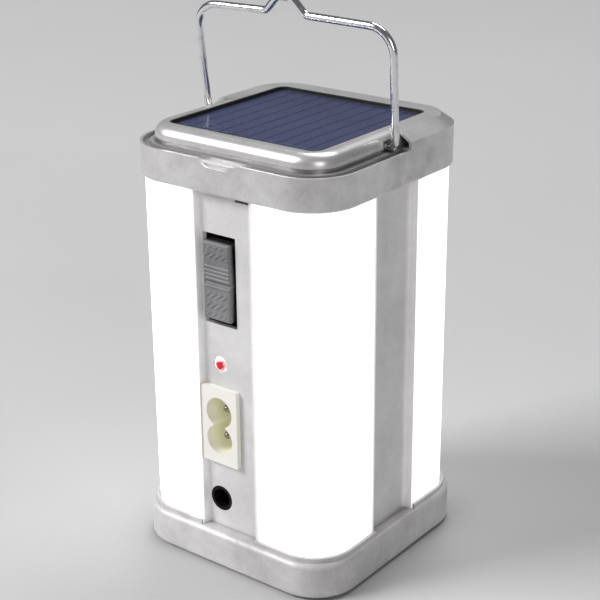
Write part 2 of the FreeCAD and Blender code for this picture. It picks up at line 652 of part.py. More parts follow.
def make_top_housing():
    """The collar and roof in one moulding: ledge and channel in front, full width behind."""
    body = new_body("top_housing")
    collar = square(new_sketch(body, "XY", s.collar_low), s.collar_half, s.collar_radius)
    pad(body, collar, s.collar_high - s.collar_low)
    round_edges(body, s.collar_round, level(s.collar_low))
    cover = square(new_sketch(body, "XY", s.collar_high), s.cover_half, s.cover_radius)
    pad(body, cover, s.top_plane - s.collar_high)
    round_edges(body, s.cover_round, level(s.top_plane))
    rear = rear_plan(new_sketch(body, "XY", s.collar_high), s.collar_half, s.collar_radius)
    pad(body, rear, s.bevel_low - s.collar_high)
    bevel_foot = rear_plan(new_sketch(body, "XY", s.bevel_low), s.collar_half, s.collar_radius)
    bevel_top = rear_plan(new_sketch(body, "XY", s.top_plane), s.rear_top_half, s.rear_top_radius)
    loft(body, bevel_foot, bevel_top)

    pocket(body, body_outline(new_sketch(body, "XY", s.collar_low)), s.seat_high - s.collar_low, True)
    ring = square(new_sketch(body, "XY", s.seat_high), s.ring_half, s.ring_radius)
    pocket(body, ring, s.ring_high - s.seat_high, True)
    inside = s.cover_half - s.cover_wall
    attic = square(new_sketch(body, "XY", s.ring_high), inside, s.cover_radius - s.cover_wall)
    pocket(body, attic, s.roof_low - s.ring_high, True)

    bosses = new_sketch(body, "XY", s.deck_low + s.deck_wall)
    for across, along in SIGNS:
        circle(bosses, s.roof_boss * across, s.roof_boss * along, s.boss_radius)
    pad(body, bosses, s.roof_low - s.deck_low - s.deck_wall)
    bearings = new_sketch(body, "XY", s.ring_high)
    for side in (1, -1):
        near = s.pivot_bottom - s.bearing_lap
        far = inside + s.bearing_lap
        low, high = (near, far) if side > 0 else (-far, -near)
        rectangle(bearings, low, high, -s.pivot_pocket_half, s.pivot_pocket_half)
    pad(body, bearings, s.roof_low - s.ring_high)

    recess = square(new_sketch(body, "XY", s.top_plane), s.recess_half, s.recess_radius)
    pocket(body, recess, s.recess_depth)
    channel = front_strip(new_sketch(body, "XY", s.collar_high), s.channel_inner, s.channel_outer,
                          s.collar_radius + s.channel_inner - s.collar_half,
                          s.collar_radius + s.channel_outer - s.collar_half)
    pocket(body, channel, s.channel_depth)
    undercut = front_strip(new_sketch(body, "XY", s.collar_high), s.undercut_half, s.channel_inner,
                           s.cover_radius + s.undercut_half - s.cover_half,
                           s.collar_radius + s.channel_inner - s.collar_half)
    pocket(body, undercut, s.undercut_height, True)

    for side in (1, -1):
        wall = s.channel_inner * side
        pocket_plan = rectangle(new_sketch(body, "YZ", wall), -s.pivot_pocket_half, s.pivot_pocket_half,
                                s.collar_high, s.pivot_pocket_high)
        pocket(body, pocket_plan, s.channel_inner - s.pivot_pocket_floor, side < 0)
        bore = circle(new_sketch(body, "YZ", wall), 0, s.pivot_height, s.pivot_bore)
        pocket(body, bore, s.channel_inner - s.pivot_bottom, side < 0)

    notch = outline(new_sketch(body, "XZ", s.collar_half), [
        (s.notch_half, s.notch_high), (-s.notch_half, s.notch_high),
        (-s.notch_foot_half, s.notch_low, s.notch_bend), (s.notch_foot_half, s.notch_low, s.notch_bend),
    ])
    pocket(body, notch, s.notch_depth)
    for side in (1, -1):
        cavity = outline(new_sketch(body, "XZ", -s.rear_front), [
            (s.cavity_inner * side, s.cavity_low), (s.cavity_outer * side, s.cavity_low),
            (s.cavity_outer * side, s.cavity_shoulder), (s.cavity_inner * side, s.cavity_high),
        ])
        pocket(body, cavity, s.cavity_depth)

    leads = new_sketch(body, "XY", s.roof_low)
    for side in (1, -1):
        circle(leads, s.lead_middle + s.lead_apart * side, s.lead_along, s.lead_hole)
    pocket(body, leads, s.top_plane - s.roof_low, True)
    pilots = new_sketch(body, "XY", s.deck_low + s.deck_wall)
    for across, along in SIGNS:
        circle(pilots, s.roof_boss * across, s.roof_boss * along, s.pilot_radius)
    pocket(body, pilots, s.roof_low - s.deck_low - s.deck_wall, True)


def make_deck():
    """The plate inside the collar that ties the side panels to the top housing."""
    body = new_body("upper_deck")
    pad(body, square(new_sketch(body, "XY", s.deck_low), s.deck_half, s.deck_radius), s.deck_wall)
    holes = new_sketch(body, "XY", s.deck_low)
    for x, y in around(s.boss_distance):
        circle(holes, x, y, s.through_radius)
    for across, along in SIGNS:
        circle(holes, s.roof_boss * across, s.roof_boss * along, s.through_radius)
    slot_half = s.lead_apart + s.lead_radius * 2
    rectangle(holes, s.lead_middle - slot_half, s.lead_middle + slot_half,
              s.lead_along - s.lead_radius * 2, s.lead_along + s.lead_radius * 2)
    pocket(body, holes, s.deck_wall, True)


# ---------------------------------------------------------------- base


def make_base_housing():
    """The tray under the body: rounded rim, curb round the diffusers, screw posts and foot pockets."""
    body = new_body("base_housing")
    tray = square(new_sketch(body, "XY", s.foot_height), s.base_half, s.base_radius)
    pad(body, tray, s.base_top - s.foot_height)
    round_edges(body, s.base_round, level(s.base_top))
    round_edges(body, s.base_under_round, level(s.foot_height))
    curb = square(new_sketch(body, "XY", s.base_floor), s.curb_half, s.curb_radius)
    pad(body, curb, s.curb_top - s.base_floor)
    pocket(body, body_outline(new_sketch(body, "XY", s.curb_top)), s.curb_top - s.base_floor)
    for across in (True, False):
        lane = new_sketch(body, "XY", s.curb_top)
        reach = s.base_half
        if across:
            rectangle(lane, -reach, reach, -s.lane_half, s.lane_half)
        else:
            rectangle(lane, -s.lane_half, s.lane_half, -reach, reach)
        pocket(body, lane, s.curb_top - s.base_top)
    posts = new_sketch(body, "XY", s.base_floor)
    for x, y in around(s.boss_distance):
        circle(posts, x, y, s.post_radius)
    pad(body, posts, s.post_high - s.base_floor)
    seats = new_sketch(body, "XY", s.foot_height)
    for x, y in around(s.boss_distance):
        circle(seats, x, y, s.counterbore_radius)
    pocket(body, seats, s.counterbore_top - s.foot_height, True)
    holes = new_sketch(body, "XY", s.counterbore_top)
    for x, y in around(s.boss_distance):
        circle(holes, x, y, s.through_radius)
    pocket(body, holes, s.post_high - s.counterbore_top, True)
    feet = new_sketch(body, "XY", s.foot_height)
    for across, along in SIGNS:
        circle(feet, s.foot_place * across, s.foot_place * along, s.foot_radius)
    pocket(body, feet, s.foot_sink, True)


def make_rubber_feet():
    """Four round feet in pockets under the base."""
    feet = []
    for across, along in SIGNS:
        height = s.foot_height + s.foot_sink
        feet.append(rod(s.foot_radius, height, s.foot_place * across, s.foot_place * along, 0))
    group("rubber_feet", feet)


# ---------------------------------------------------------------- side panels, diffusers, lamps


def make_side_panel(side, degrees):
    """A shallow channel with a lip along each diffuser and a screw boss at each end."""
    body = new_body(side + "_panel")
    face = s.panel_face
    back = face - s.panel_wall
    hem = back - s.flange_depth
    inner = s.lane_half - s.flange_wall
    plan = outline(new_sketch(body, "XY", s.body_low), [
        (-s.lane_half, -s.lip_face), (-s.lip_top, -s.lip_face), (-s.lip_foot, -face),
        (s.lip_foot, -face), (s.lip_top, -s.lip_face), (s.lane_half, -s.lip_face),
        (s.lane_half, -hem), (inner, -hem), (inner, -back), (-inner, -back), (-inner, -hem),
        (-s.lane_half, -hem),
    ])
    pad(body, plan, s.body_high - s.body_low)
    upper_low = s.body_high - s.boss_length
    for low, length in ((s.boss_low, s.boss_length), (upper_low, s.boss_length)):
        rib = rectangle(new_sketch(body, "XY", low), -s.boss_rib_half, s.boss_rib_half,
                        -back - PLAY, -s.boss_distance)
        pad(body, rib, length)
        pad(body, circle(new_sketch(body, "XY", low), 0, -s.boss_distance, s.boss_radius), length)
        pocket(body, circle(new_sketch(body, "XY", low), 0, -s.boss_distance, s.pilot_radius), length, True)
    if side == "front":
        cut_control_openings(body)
    if side == "rear":
        add_board_posts(body, back)
    turned(body, degrees)


def cut_control_openings(body):
    """The openings of the front panel: switch, lamp, inlet, jack and vent, and the plate's seat."""
    controls = new_sketch(body, "XZ", s.panel_face)
    rectangle(controls, s.switch_across - s.switch_half_width, s.switch_across + s.switch_half_width,
              s.switch_height - s.switch_half_height, s.switch_height + s.switch_half_height)
    circle(controls, s.lamp_across, s.lamp_height, s.lamp_hole)
    wide = s.inlet_body_half_width + PLAY
    high = s.inlet_body_half_height + PLAY
    rectangle(controls, s.inlet_across - wide, s.inlet_across + wide,
              s.inlet_height - high, s.inlet_height + high)
    circle(controls, s.jack_across, s.jack_height, s.jack_radius + PLAY)
    rectangle(controls, s.vent_left, s.vent_right, s.vent_low, s.vent_high)
    pocket(body, controls, s.panel_wall)
    wide = s.inlet_plate_half_width + PLAY
    high = s.inlet_plate_half_height + PLAY
    seat = rectangle(new_sketch(body, "XZ", s.lip_face), s.inlet_across - wide, s.inlet_across + wide,
                     s.inlet_height - high, s.inlet_height + high)
    pocket(body, seat, s.lip_face - s.panel_face)


def add_board_posts(body, back):
    """Posts on the rear panel that carry the main board. The panel is drawn as if at the front."""
    reach = back - s.board_face - s.board_wall - PLAY
    posts = new_sketch(body, "XZ", s.board_face + s.board_wall + PLAY)
    for height in BOARD_POSTS:
        circle(posts, 0, height, s.board_post_radius)
    pad(body, posts, reach)
    pilots = new_sketch(body, "XZ", s.board_face + s.board_wall + PLAY)
    for height in BOARD_POSTS:
        circle(pilots, 0, height, BOARD_PILOT)
    pocket(body, pilots, BOARD_PILOT_DEPTH, True)


def make_diffuser(corner, degrees):
    """A rounded corner cover of milky plastic with a flank along each side panel."""
    body = new_body("diffuser_" + corner)
    edge = s.lane_half + s.lane_gap
    inside = s.body_half - s.diffuser_wall
    plan = outline(new_sketch(body, "XY", s.body_low), [
        (edge, s.flank_inner), (edge, s.body_half, s.diffuser_edge),
        (s.body_half, s.body_half, s.body_radius), (s.body_half, edge, s.diffuser_edge),
        (s.flank_inner, edge), (s.flank_inner, edge + s.diffuser_wall),
        (inside, edge + s.diffuser_wall), (inside, inside, s.body_radius - s.diffuser_wall),
        (edge + s.diffuser_wall, inside), (edge + s.diffuser_wall, s.flank_inner),
    ])
    pad(body, plan, s.body_high - s.body_low)
    turned(body, degrees)


def make_reflector(corner, degrees):
    """The white angle behind a diffuser, with a flat back for the lamp board."""
    body = new_body("reflector_" + corner)
    edge = s.lane_half + s.lane_gap
    end = s.flank_inner - s.lane_gap
    front = edge + s.tray_wall
    lean = s.tray_wall * (math.sqrt(2) - 1)
    plan = outline(new_sketch(body, "XY", s.body_low), [
        (edge, end), (edge, s.tray_corner), (s.tray_corner, edge), (end, edge),
        (end, front), (s.tray_corner + lean, front), (front, s.tray_corner + lean), (front, end),
    ])
    pad(body, plan, s.body_high - s.body_low)
    turned(body, degrees)


def lamp_seat():
    """Distance from the lantern's axis to the face that a lamp board lies on."""
    return (s.lane_half + s.lane_gap + s.tray_corner) / math.sqrt(2) + s.tray_wall + PLAY / 2


def make_led_board(corner, degrees):
    """A narrow lamp board on the reflector's flat back, facing the corner."""
    body = new_body("led_board_" + corner)
    half = s.led_board_width / 2
    seat = lamp_seat()
    plan = rectangle(new_sketch(body, "XY", s.led_board_low), seat, seat + s.led_board_wall, -half, half)
    pad(body, plan, s.led_board_high - s.led_board_low)
    turned(body, degrees + 45)


def make_led_chips(corner, degrees):
    """The column of lamp chips on one lamp board."""
    seat = lamp_seat() + s.led_board_wall
    middle = (s.led_board_low + s.led_board_high) / 2
    count = 12
    chips = []
    for i in range(count):
        height = middle + s.led_pitch * (i - (count - 1) / 2)
        chips.append(block(seat, seat + s.led_depth, -s.led_width / 2, s.led_width / 2,
                           height - s.led_height / 2, height + s.led_height / 2))
    turned(group("led_chips_" + corner, chips), degrees + 45)


# ---------------------------------------------------------------- handle


def make_handle():
    """The bent wire handle, drawn upright in its own plane and leaned about its axis."""
    body = new_body("carry_handle")
    reach = s.handle_reach
    halves = []
    for side in (1, -1):
        halves.append([
            (s.pivot_end * side, 0), (s.handle_foot * side, 0, s.foot_bend),
            (s.handle_shoulder * side, reach - s.handle_slope, s.shoulder_bend),
            (s.hump_middle + s.hump_half * side, reach, s.hump_bend),
            (s.hump_middle + s.hump_top_half * side, reach + s.hump_rise, s.hump_bend),
        ])
    right, left = halves
    path = outline(new_sketch(body, "XZ", 0), right + left[::-1], closed=False)
    profile = circle(new_sketch(body, "YZ", s.pivot_end), 0, 0, s.wire_radius)
    pipe(body, profile, path)
    turn = FreeCAD.Rotation(FreeCAD.Vector(1, 0, 0), s.handle_lean.value)
    body.Placement = FreeCAD.Placement(FreeCAD.Vector(0, 0, 0), turn)
    bind(body, "Placement.Base.z", s.pivot_height)


# ---------------------------------------------------------------- solar panel


def make_solar_panel():
    """Gasket, backing board, row of narrow cells and clear window, one on the other."""
    floor = s.top_plane - s.recess_depth
    gasket = new_body("solar_gasket")
    ring = square(new_sketch(gasket, "XY", floor), s.gasket_half, s.recess_radius)
    square(ring, s.gasket_inner, s.recess_radius - s.gasket_half + s.gasket_inner)
    pad(gasket, ring, s.gasket_high - floor)
    half = s.laminate_half
    radius = s.recess_radius - s.gasket_half + s.laminate_half
    backing = new_body("solar_backing")
    pad(backing, square(new_sketch(backing, "XY", floor), half, radius), s.backing_high - floor)
    window = new_body("solar_window")
    pad(window, square(new_sketch(window, "XY", s.cell_high), half, radius), s.window_high - s.cell_high)
    count = 10
    cells = []
    for i in range(count):
        middle = s.cell_pitch * (i - (count - 1) / 2)
        cells.append(block(middle - s.cell_width / 2, middle + s.cell_width / 2,
                           s.cell_front, s.cell_rear, s.backing_high, s.cell_high))
    group("solar_cells", cells)


# ---------------------------------------------------------------- switch


def make_switch_housing():
    """The box behind the front panel that the rocker tilts in."""
    body = new_body("switch_housing")
    across = s.switch_across
    height = s.switch_height
    shell = rectangle(new_sketch(body, "XZ", s.housing_back), across - s.housing_half_width,
                      across + s.housing_half_width, height - s.housing_half_height,
                      height + s.housing_half_height)
    pad(body, shell, s.housing_front - s.housing_back)
    wide = s.switch_half_width - PLAY
    hollow = rectangle(new_sketch(body, "XZ", s.housing_front), across - wide, across + wide,
                       height - s.switch_half_height, height + s.switch_half_height)
    pocket(body, hollow, s.housing_front - s.housing_back - s.housing_wall)
    bore = circle(new_sketch(body, "YZ", across - s.housing_half_width), -s.switch_axis, height, s.pin_radius)
    pocket(body, bore, s.housing_half_width * 2, True)


def make_switch_rocker():
    """The rocker: a shallow V across its height, grip ribs in the middle and a hub on its pin."""
    body = new_body("switch_rocker")
    half = s.rocker_half_height
    height = s.switch_height
    side = new_sketch(body, "YZ", s.switch_across - s.rocker_half_width)
    outline(side, [
        (-s.rocker_back, height - half), (-s.rocker_end_face, height - half, s.rib_radius),
        (-s.rocker_middle_face, height), (-s.rocker_end_face, height + half, s.rib_radius),
        (-s.rocker_back, height + half), (-s.rocker_back, height + s.rocker_hub),
        (-s.switch_axis, height + s.rocker_hub), (-s.switch_axis, height - s.rocker_hub),
        (-s.rocker_back, height - s.rocker_hub),
    ])
    pad(body, side, s.rocker_half_width * 2)
    hub = circle(new_sketch(body, "YZ", s.switch_across - s.rocker_half_width), -s.switch_axis,
                 height, s.rocker_hub)
    pad(body, hub, s.rocker_half_width * 2)
    count = 5
    for i in range(count):
        place_up = height + s.rib_pitch * (i - (count - 1) / 2)
        rib = circle(new_sketch(body, "YZ", s.switch_across - s.rocker_half_width + PLAY * 3),
                     -s.rocker_middle_face, place_up, s.rib_radius)
        pad(body, rib, (s.rocker_half_width - PLAY * 3) * 2)
    bore = circle(new_sketch(body, "YZ", s.switch_across - s.rocker_half_width), -s.switch_axis,
                  height, s.pin_bore)
    pocket(body, bore, s.rocker_half_width * 2, True)


def make_switch_hardware():
    """The rocker's pin and the terminals behind the switch."""
    half = s.housing_half_width
    node(rod(s.pin_radius, half * 2, s.switch_across - half, -s.switch_axis, s.switch_height, SIDEWAYS),
         "switch_pivot_pin")
    left = s.switch_across - s.terminal_half_width
    right = s.switch_across + s.terminal_half_width
    blades = []
    for step in (-1, 0, 1):
        height = s.switch_height + s.terminal_pitch * step
        blades.append(block(left, right, -s.housing_back, -s.terminal_end,
                            height - s.terminal_half_wall, height + s.terminal_half_wall))
    group("switch_terminals", blades)


# ---------------------------------------------------------------- mains inlet, jack and lamp


def make_inlet():
    """The mains inlet: face plate, body and figure-of-eight socket with two round pins."""
    body = new_body("inlet_housing")
    across = s.inlet_across
    height = s.inlet_height
    plate = rectangle(new_sketch(body, "XZ", s.panel_face), across - s.inlet_plate_half_width,
                      across + s.inlet_plate_half_width, height - s.inlet_plate_half_height,
                      height + s.inlet_plate_half_height, s.rib_radius)
    pad(body, plate, s.inlet_plate_wall)
    shell = rectangle(new_sketch(body, "XZ", s.inlet_back), across - s.inlet_body_half_width,
                      across + s.inlet_body_half_width, height - s.inlet_body_half_height,
                      height + s.inlet_body_half_height)
    pad(body, shell, s.panel_face - s.inlet_back)
    front = s.panel_face + s.inlet_plate_wall
    depth = front - s.socket_floor
    lobe = s.blade_pitch / 2
    for step in (-1, 1):
        ring = circle(new_sketch(body, "XZ", front), across, height + lobe * step, s.socket_radius)
        pocket(body, ring, depth)
    waist = rectangle(new_sketch(body, "XZ", front), across - s.socket_waist, across + s.socket_waist,
                      height - lobe, height + lobe)
    pocket(body, waist, depth)
    pins = new_sketch(body, "XZ", s.socket_floor)
    for step in (-1, 1):
        circle(pins, across, height + lobe * step, s.blade_radius)
    pocket(body, pins, s.socket_floor - s.inlet_back)
    blades = []
    for step in (-1, 1):
        up = height + lobe * step
        shaft = rod(s.blade_radius, s.blade_front - s.blade_radius - s.blade_back, across,
                    -s.blade_back, up, FORWARD)
        tip = ball(s.blade_radius, across, -s.blade_front + s.blade_radius, up)
        blades.append(fused(shaft, tip))
    group("inlet_pins", blades)


def make_jack():
    """The low-voltage jack: a block with a round nose in the panel, a bore and a centre pin."""
    body = new_body("dc_jack_body")
    across = s.jack_across
    height = s.jack_height
    shell = rectangle(new_sketch(body, "XZ", s.jack_back), across - s.jack_half_width,
                      across + s.jack_half_width, height - s.jack_half_height, height + s.jack_half_height)
    pad(body, shell, s.jack_front - s.jack_back)
    nose = circle(new_sketch(body, "XZ", s.jack_front), across, height, s.jack_radius)
    pad(body, nose, s.panel_face - s.jack_front)
    bore = circle(new_sketch(body, "XZ", s.panel_face), across, height, s.jack_bore)
    pocket(body, bore, s.panel_face - s.jack_floor)
    pin_hole = circle(new_sketch(body, "XZ", s.jack_floor), across, height, s.jack_pin_radius)
    pocket(body, pin_hole, s.jack_floor - s.jack_back)
    length = s.jack_pin_front - s.jack_pin_radius - s.jack_back
    shaft = rod(s.jack_pin_radius, length, across, -s.jack_back, height, FORWARD)
    tip = ball(s.jack_pin_radius, across, -s.jack_pin_front + s.jack_pin_radius, height)
    node(fused(shaft, tip), "dc_jack_pin")


def make_indicator_led():
    """The charge lamp: a clear red dome with a flange behind the panel and two legs."""
    across = s.lamp_across
    height = s.lamp_height
    back = s.panel_face - s.panel_wall - PLAY
    dome = ball(s.lamp_radius, across, -s.lamp_proud + s.lamp_radius, height)
    shaft = rod(s.lamp_radius, s.lamp_proud - s.lamp_radius - back, across, -back, height, FORWARD)
    flange = rod(s.lamp_flange, s.panel_wall, across, -back + s.panel_wall, height, FORWARD)
    legs = []
    for side in (-1, 1):
        legs.append(rod(s.leg_radius, s.leg_length, across + s.leg_apart * side, -back + s.leg_length,
                        height, FORWARD))
    node(fused(dome, shaft, flange, *legs), "indicator_led")


# ---------------------------------------------------------------- battery and main board


def make_battery():
    """One cylindrical cell upright in the core, its cradle and its welded tabs."""
    low = s.cell_low
    high = low + s.cell_length
    can = rod(s.cell_radius, s.cell_length - s.button_height, 0, 0, low)
    button = rod(s.button_radius, s.button_height, 0, 0, high - s.button_height)
    node(fused(can, button), "battery_cell")
    tabs = []
    slots = []
    for face in (low - s.tab_wall, high):
        tabs.append(block(-s.tab_half, s.tab_half, -s.tab_half, s.board_face, face, face + s.tab_wall))
        slots.append(block(-s.tab_half - PLAY, s.tab_half + PLAY, 0, s.board_face, face - PLAY,
                           face + s.tab_wall + PLAY))
    group("battery_tabs", tabs)
    half = s.spine_half
    wall = s.cradle_wall
    front = -s.cradle_half
    spine_back = s.cradle_spine + wall
    floor = low - s.tab_wall - PLAY
    ceiling = high + s.tab_wall + PLAY
    spine = block(-half, half, s.cradle_spine, spine_back, floor - wall, ceiling + wall)
    shelf = block(-half, half, front, s.cradle_spine, floor - wall, floor)
    cap = block(-half, half, front, s.cradle_spine, ceiling, ceiling + wall)
    reach = s.board_face - spine_back
    posts = []
    pilots = []
    for height in CRADLE_POSTS:
        posts.append(rod(s.board_post_radius, reach, 0, s.board_face, height, FORWARD))
        pilots.append(rod(BOARD_PILOT, BOARD_PILOT_DEPTH, 0, s.board_face, height, FORWARD))
    node(cut(fused(spine, shelf, cap, *posts), *(pilots + slots)), "battery_cradle")


def make_main_board():
    """The charging and lamp board on the rear panel, with its larger components."""
    body = new_body("main_board")
    front = s.board_face
    back = front + s.board_wall
    plan = rectangle(new_sketch(body, "XZ", -back), -s.board_half, s.board_half, s.board_low, s.board_high)
    pad(body, plan, s.board_wall)
    holes = new_sketch(body, "XZ", -back)
    for height in BOARD_POSTS + CRADLE_POSTS:
        circle(holes, 0, height, s.board_hole)
    pocket(body, holes, s.board_wall, True)
    capacitors = []
    for height in CAPACITOR_PLACES:
        capacitors.append(rod(s.capacitor_radius, s.capacitor_length, s.capacitor_across, front, height,
                              FORWARD))
    group("board_capacitors", capacitors)
    chips = []
    for height in CHIP_PLACES:
        chips.append(block(-s.chip_half_width, s.chip_half_width, back, back + s.chip_depth,
                           -s.chip_half_height + height, s.chip_half_height + height))
    chips.append(block(s.coil_left, s.coil_right, back, back + s.coil_depth, s.coil_low, s.coil_high))
    group("board_chips", chips)
    diodes = []
    for step in range(4):
        height = s.diode_low + s.diode_pitch * step
        diodes.append(rod(s.diode_radius, s.diode_length, s.diode_across, back + s.diode_stand, height,
                          SIDEWAYS))
    group("board_diodes", diodes)
    plugs = []
    for low in (s.connector_low - s.connector_drop, s.connector_low):
        plugs.append(block(s.connector_left, s.connector_right, back, back + s.connector_depth,
                           low, low + s.connector_height))
    group("board_connectors", plugs)


def make_charger_board():
    """The small board behind the mains inlet and the jack, with its dropper capacitor."""
    body = new_body("charger_board")
    plan = rectangle(new_sketch(body, "XZ", s.charger_back), -s.board_half, s.board_half,
                     s.charger_low, s.charger_high)
    pad(body, plan, s.charger_face - s.charger_back)
    front = -s.charger_face
    node(block(s.dropper_left, s.dropper_right, front - s.dropper_depth, front,
               s.dropper_low, s.dropper_high), "charger_capacitor")


def make_solar_leads():
    """The two insulated leads from the solar panel through the deck to the main board."""
    floor = s.top_plane - s.recess_depth
    bend = s.lead_bend
    behind = s.board_face + s.board_wall + s.lead_stand
    leads = []
    for side in (-1, 1):
        x = s.lead_middle + s.lead_apart * side
        body = doc.addObject("PartDesign::Body", "Lead")
        path = outline(new_sketch(body, "YZ", x), [
            (s.lead_along, floor), (s.lead_along, s.lead_turn, bend), (behind, s.lead_slope_end, bend),
            (behind, s.connector_low + s.connector_height),
        ], closed=False)
        profile = circle(new_sketch(body, "XY", floor), x, s.lead_along, s.lead_radius)
        pipe(body, profile, path)
        leads.append(body)
    group("solar_leads", leads)


# ---------------------------------------------------------------- fasteners


def screw(x, y, seat, up):
    """A pan-head screw whose head bears on a seat, with its shank up or down."""
    if up:
        head = rod(s.head_radius, s.head_height, x, y, seat - s.head_height)
        shank = rod(s.shank_radius, s.shank_length, x, y, seat)
    else:
        head = rod(s.head_radius, s.head_height, x, y, seat)
        shank = rod(s.shank_radius, s.shank_length, x, y, seat - s.shank_length)
    return fused(head, shank)


def board_screw(height, head_back, shank_back):
    """A small screw along Y, given by the rear ends of its head and of its shank."""
    head = rod(s.board_head_radius, s.board_head_height, 0, head_back, height, FORWARD)
    shank = rod(s.board_shank_radius, s.board_shank_length, 0, shank_back, height, FORWARD)
    return fused(head, shank)


def make_screws():
    """The base, deck, roof and board screws, one group for each kind."""
    group("base_screws", [screw(x, y, s.counterbore_top, True) for x, y in around(s.boss_distance)])
    deck_top = s.deck_low + s.deck_wall
    group("deck_screws", [screw(x, y, deck_top, False) for x, y in around(s.boss_distance)])
    group("roof_screws", [screw(s.roof_boss * a, s.roof_boss * b, s.deck_low, True) for a, b in SIGNS])
    front = s.board_face
    back = front + s.board_wall
    small = [board_screw(height, front, front + s.board_shank_length) for height in BOARD_POSTS]
    small += [board_screw(height, back + s.board_head_height, back) for height in CRADLE_POSTS]
    group("board_screws", small)


make_top_housing()
make_deck()
make_base_housing()
make_rubber_feet()
for side, degrees in SIDES:
    make_side_panel(side, degrees)
for corner, degrees in CORNERS:
    make_diffuser(corner, degrees)
    make_reflector(corner, degrees)
    make_led_board(corner, degrees)
    make_led_chips(corner, degrees)
make_handle()
make_solar_panel()
make_switch_housing()
make_switch_rocker()
make_switch_hardware()
make_inlet()
make_jack()
make_indicator_led()
make_battery()
make_main_board()
make_charger_board()
make_solar_leads()
make_screws()
doc.recompute()

faults = []
for thing in doc.Objects:
    if "Invalid" in thing.State or "Error" in thing.State:
        faults.append("%s (%s): %s" % (thing.Name, thing.Label, thing.State))
for thing in nodes:
    if thing.Shape.isNull() or not thing.Shape.isValid() or not thing.Shape.Solids:
        faults.append("%s has no valid shape" % thing.Label)
if faults:
    raise RuntimeError("; ".join(faults))

os.makedirs("parts", exist_ok=True)
for thing in nodes:
    thing.Shape.exportStep("parts/%s.step" % thing.Label)
    print("%-24s %d solid(s) %10.1f mm3" % (thing.Label, len(thing.Shape.Solids), thing.Shape.Volume))
print(len(nodes), "sub-parts")
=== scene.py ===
import json
import math

import bmesh
import bpy
from mathutils import Matrix, Vector


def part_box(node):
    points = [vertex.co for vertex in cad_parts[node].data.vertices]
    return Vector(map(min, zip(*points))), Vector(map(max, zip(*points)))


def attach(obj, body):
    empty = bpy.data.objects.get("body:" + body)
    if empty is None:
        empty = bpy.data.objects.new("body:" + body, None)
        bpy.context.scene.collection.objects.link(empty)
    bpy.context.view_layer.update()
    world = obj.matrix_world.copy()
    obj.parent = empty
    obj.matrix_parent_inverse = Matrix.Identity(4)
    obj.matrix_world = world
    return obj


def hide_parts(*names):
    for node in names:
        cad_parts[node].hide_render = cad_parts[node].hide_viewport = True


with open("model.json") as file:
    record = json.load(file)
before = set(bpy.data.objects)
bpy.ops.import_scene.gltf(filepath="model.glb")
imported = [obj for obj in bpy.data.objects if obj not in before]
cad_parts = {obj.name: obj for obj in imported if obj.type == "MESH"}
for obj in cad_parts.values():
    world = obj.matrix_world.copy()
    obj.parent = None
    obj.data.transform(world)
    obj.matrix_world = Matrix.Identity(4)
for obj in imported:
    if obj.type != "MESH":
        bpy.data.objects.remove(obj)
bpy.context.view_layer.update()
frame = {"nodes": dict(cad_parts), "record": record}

# A square solar lantern: silver collar and base, lit corner diffusers, narrow silver side panels,
# a solar panel in the roof, a folding wire handle, and a front panel with rocker switch, charge
# lamp, mains inlet and low-voltage jack. Metres; Z up; the front panel faces -Y.

SIDES = ("front", "right", "rear", "left")

# Solar panel: the pitch of the cells and of the fine fingers across them, and the tinned ribbon
# along the cells' front ends.
CELL_PITCH = 0.00512
FINGER_PITCH = 0.0011
RIBBON_INSET = 0.0005
RIBBON_HALF = 0.00018
RIBBON_RISE = 0.00005
JOINT_RADIUS = 2.2 * RIBBON_HALF
JOINT_SHAPE = (1, 0.7, 0.16, 1)

# Diffusers: the heights over which their light falls off at the foot and the head, and the
# distance from the lantern's middle planes over which it falls off at the long edges.
DIFFUSER_FOOT = (0.010, 0.026)
DIFFUSER_HEAD = (0.102, 0.118)
DIFFUSER_EDGE = (0.0104, 0.0125)

# Side panels: where the light painted on their lips, standing in for the diffusers' light spilling onto
# them, starts and is full, from the middle of a panel.
LIP_PAINTED_LIGHT = (0.0072, 0.0102)

# Mains inlet: where the olive tint and glow painted down its socket, standing in for the light there, start
# and are full, along Y.
SOCKET_MOUTH = -0.0338
SOCKET_DEEP = -0.0300

# Circuit boards: how fast the copper tracks repeat across and up the board, in radians per metre.
TRACKS_ACROSS = 2100
TRACKS_UP = 1700

# Charge lamp: the red core's soft edge, its ragged outline and its shift from the lens's axis.
LAMP_CORE = (0.0010, 0.0021)
LAMP_RAGGED = 0.0004
LAMP_CORE_SHIFT = 0.0005

# Rocker: how much deeper its face is in the middle, how thick its wings are, and its hub's radius.
ROCKER_DIP = 0.0007
ROCKER_WING = 0.0038
ROCKER_HUB = 0.0024
HUB_STEPS = 12

# Grip pad on the rocker: its thickness, how far it sinks into the body, its rounded edge, the
# bare margin round its waves, and how the waves fade in. Ribs and a groove run across it.
PAD_DEPTH = 0.0016
PAD_SINK = 0.0002
PAD_ROUND = 0.0006
PAD_MARGIN = 0.0008
PAD_FADE = 0.0005
PAD_COLUMNS = 64
PAD_ROWS = 150
RIB_PLACES = (0.0040, 0.0028, 0.0016, 0.0004, -0.0018)
RIB_HALF = 0.0005
RIB_RISE = 0.0003
GROOVE_PLACE = -0.0008
GROOVE_HALF = 0.0006
GROOVE_DEPTH = 0.0007
WAVE_FIELDS = ((-0.0107, -0.0030), (0.0050, 0.0107))
WAVE_SWAY = 0.42
WAVE_LENGTH = 0.0030
WAVE_PITCH = 0.0021
WAVE_RISE = 0.00016

